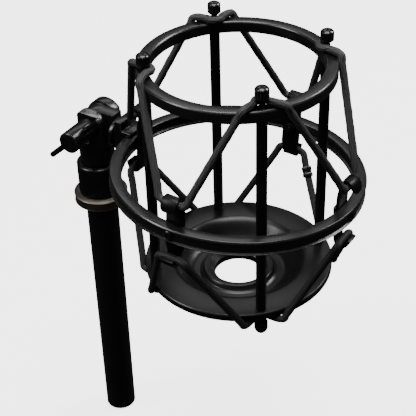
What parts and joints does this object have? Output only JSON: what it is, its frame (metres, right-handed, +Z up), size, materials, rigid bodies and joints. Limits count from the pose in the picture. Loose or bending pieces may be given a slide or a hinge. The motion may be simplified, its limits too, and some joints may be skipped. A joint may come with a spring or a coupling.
{
  "type": "microphone shock mount",
  "caption": "Round elastic-suspended cradle for a studio microphone, carried by an outer ring on a tilting swivel with a threaded collar and stand tube.",
  "frame": {"origin": "middle of the stand tube's lower end", "axes": "+Z up along the stand tube, +X from the stand tube to the cage, +Y along the tilt pivot away from the T-screw"},
  "size_m": [0.1567, 0.1191, 0.2499],
  "materials": {
    "painted_tube": "satin black",
    "painted_hardware": "satin black",
    "bronze_knurl": "dark bronze, knurled",
    "painted_ring": "satin black",
    "painted_dish": "satin black",
    "bracket": "satin black",
    "fastener": "black",
    "rod": "satin black",
    "cap": "gloss black",
    "cord": "braided",
    "ferrule": "satin"
  },
  "bodies": {
    "stand": {"stand_tube": "painted_tube", "thread_stud": "painted_hardware"},
    "lock": {"lock_ring": "bronze_knurl"},
    "collar": {"collar": "painted_hardware"},
    "swivel": {"swivel_body": "painted_hardware"},
    "screw": {"t_screw": "painted_hardware"},
    "bar": {"tommy_bar": "painted_hardware"},
    "ring": {"tilt_arm": "painted_hardware", "ring_saddle": "painted_hardware", "outer_ring": "painted_ring", "hook_a": "bracket", "hook_b": "bracket", "hook_c": "bracket", "hook_d": "bracket", "hook_screw_a": "fastener", "hook_screw_b": "fastener", "hook_screw_c": "fastener", "hook_screw_d": "fastener", "hook_nut_a": "fastener", "hook_nut_b": "fastener", "hook_nut_c": "fastener", "hook_nut_d": "fastener", "upper_cord": "cord", "lower_cord": "cord", "cord_ferrule": "ferrule"},
    "cage": {"top_ring": "painted_ring", "base_dish": "painted_dish", "rod_right": "rod", "rod_back": "rod", "rod_left": "rod", "rod_front": "rod", "cap_right": "cap", "cap_back": "cap", "cap_left": "cap", "cap_front": "cap", "end_nut_right": "cap", "end_nut_back": "cap", "end_nut_left": "cap", "end_nut_front": "cap"}
  },
  "joints": [
    {"name": "lock_ring_turn", "type": "hinge", "parent": "stand", "child": "lock", "pos_m": [0, 0, 0.145], "axis": [0, 0, 1], "continuous": true},
    {"name": "collar_turn", "type": "hinge", "parent": "stand", "child": "collar", "pos_m": [0, 0, 0.157], "axis": [0, 0, 1], "continuous": true},
    {"name": "swivel_turn", "type": "hinge", "parent": "collar", "child": "swivel", "pos_m": [0, 0, 0.165], "axis": [0, 0, 1], "continuous": true},
    {"name": "cradle_tilt", "type": "hinge", "parent": "swivel", "child": "ring", "pos_m": [0.0022, 0, 0.1877], "axis": [0, 1, 0], "range_deg": [-75, 13]},
    {"name": "t_screw_turn", "type": "hinge", "parent": "swivel", "child": "screw", "pos_m": [0.0022, 0, 0.1877], "axis": [0, 1, 0], "range_deg": [-110, 190]},
    {"name": "tommy_bar_slide", "type": "slide", "parent": "screw", "child": "bar", "axis": [0.7385, 0, 0.6743], "range_m": [-0.005, 0.015]},
    {"name": "cradle_bounce", "type": "slide", "parent": "ring", "child": "cage", "axis": [0, 0, 1], "range_m": [-0.003, 0.003], "stiffness_N_per_m": 3000, "springref_m": 0.00096, "deforming": ["upper_cord", "lower_cord", "cord_ferrule"]}
  ]
}
